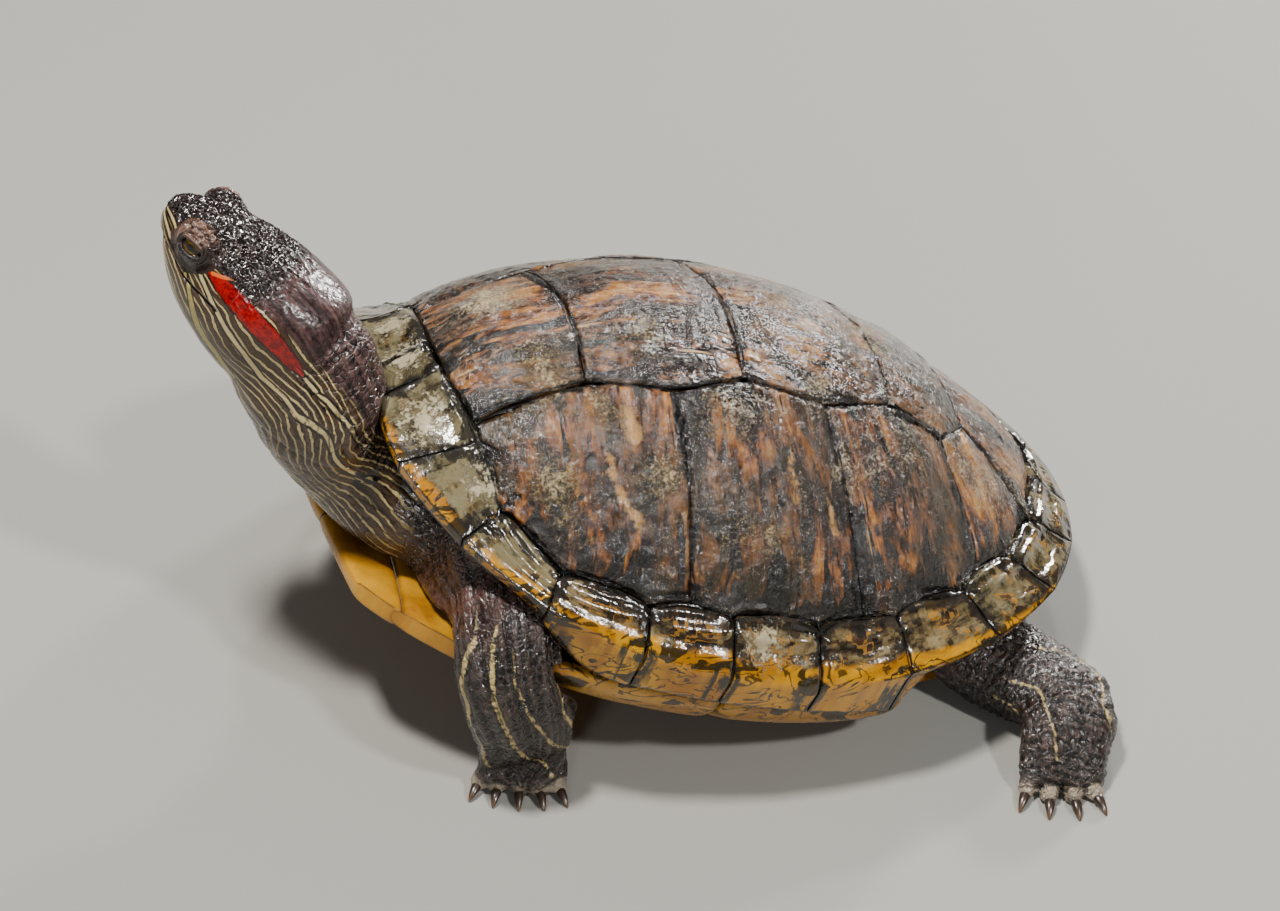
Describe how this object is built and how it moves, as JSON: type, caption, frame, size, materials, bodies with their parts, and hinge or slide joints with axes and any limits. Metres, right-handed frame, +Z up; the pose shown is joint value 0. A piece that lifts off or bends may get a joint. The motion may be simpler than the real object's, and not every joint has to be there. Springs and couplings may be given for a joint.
{
  "type": "red-eared slider turtle",
  "caption": "Life-size still model of a red-eared slider resting on its feet and the rear of its lower shell, neck stretched up and head turned to its right",
  "frame": {"origin": "centre of the bounding box on the floor the animal rests on", "axes": "+Z up; the head end points towards -X, the animal's left side is -Y; the long axis of the shell runs along X"},
  "size_m": [0.2324, 0.1962, 0.1207],
  "materials": {
    "carapace": "wet, glossy horn, brown with black blotches and worn tan patches",
    "margin": "wet, glossy horn, olive grey above, orange-yellow with dark rings at the edge",
    "plastron": "smooth yellow-orange horn with olive-black figures",
    "neck_skin": "damp loose skin with fine cream and dark stripes",
    "head_skin": "wet smooth dark skin with a red stripe behind each eye",
    "jaw_skin": "horn and skin striped yellow and dark brown",
    "limb_skin": "damp wrinkled skin, dark grey-purple with thin yellow lines",
    "eye": "clear wet eye, yellow-brown iris with a dark bar"
  },
  "bodies": {
    "root": {"nuchal": "margin", "vertebral_1": "carapace", "vertebral_2": "carapace", "vertebral_3": "carapace", "vertebral_4": "carapace", "vertebral_5": "carapace", "costal_left_1": "carapace", "costal_left_2": "carapace", "costal_left_3": "carapace", "costal_left_4": "carapace", "marginal_left_1": "margin", "marginal_left_2": "margin", "marginal_left_3": "margin", "marginal_left_4": "margin", "marginal_left_5": "margin", "marginal_left_6": "margin", "marginal_left_7": "margin", "marginal_left_8": "margin", "marginal_left_9": "margin", "marginal_left_10": "margin", "marginal_left_11": "margin", "marginal_left_12": "margin", "costal_right_1": "carapace", "costal_right_2": "carapace", "costal_right_3": "carapace", "costal_right_4": "carapace", "marginal_right_1": "margin", "marginal_right_2": "margin", "marginal_right_3": "margin", "marginal_right_4": "margin", "marginal_right_5": "margin", "marginal_right_6": "margin", "marginal_right_7": "margin", "marginal_right_8": "margin", "marginal_right_9": "margin", "marginal_right_10": "margin", "marginal_right_11": "margin", "marginal_right_12": "margin", "plastron_gular": "plastron", "plastron_humeral": "plastron", "plastron_pectoral": "plastron", "plastron_abdominal": "plastron", "plastron_femoral": "plastron", "plastron_anal": "plastron", "trunk": "neck_skin", "neck": "neck_skin", "head": "head_skin", "lower_jaw": "jaw_skin", "eye_left": "eye", "eye_right": "eye", "tail": "limb_skin", "front_leg_left": "limb_skin", "front_foot_left": "limb_skin", "hind_leg_left": "limb_skin", "hind_foot_left": "limb_skin", "front_leg_right": "limb_skin", "front_foot_right": "limb_skin", "hind_leg_right": "limb_skin", "hind_foot_right": "limb_skin"}
  },
  "joints": []
}
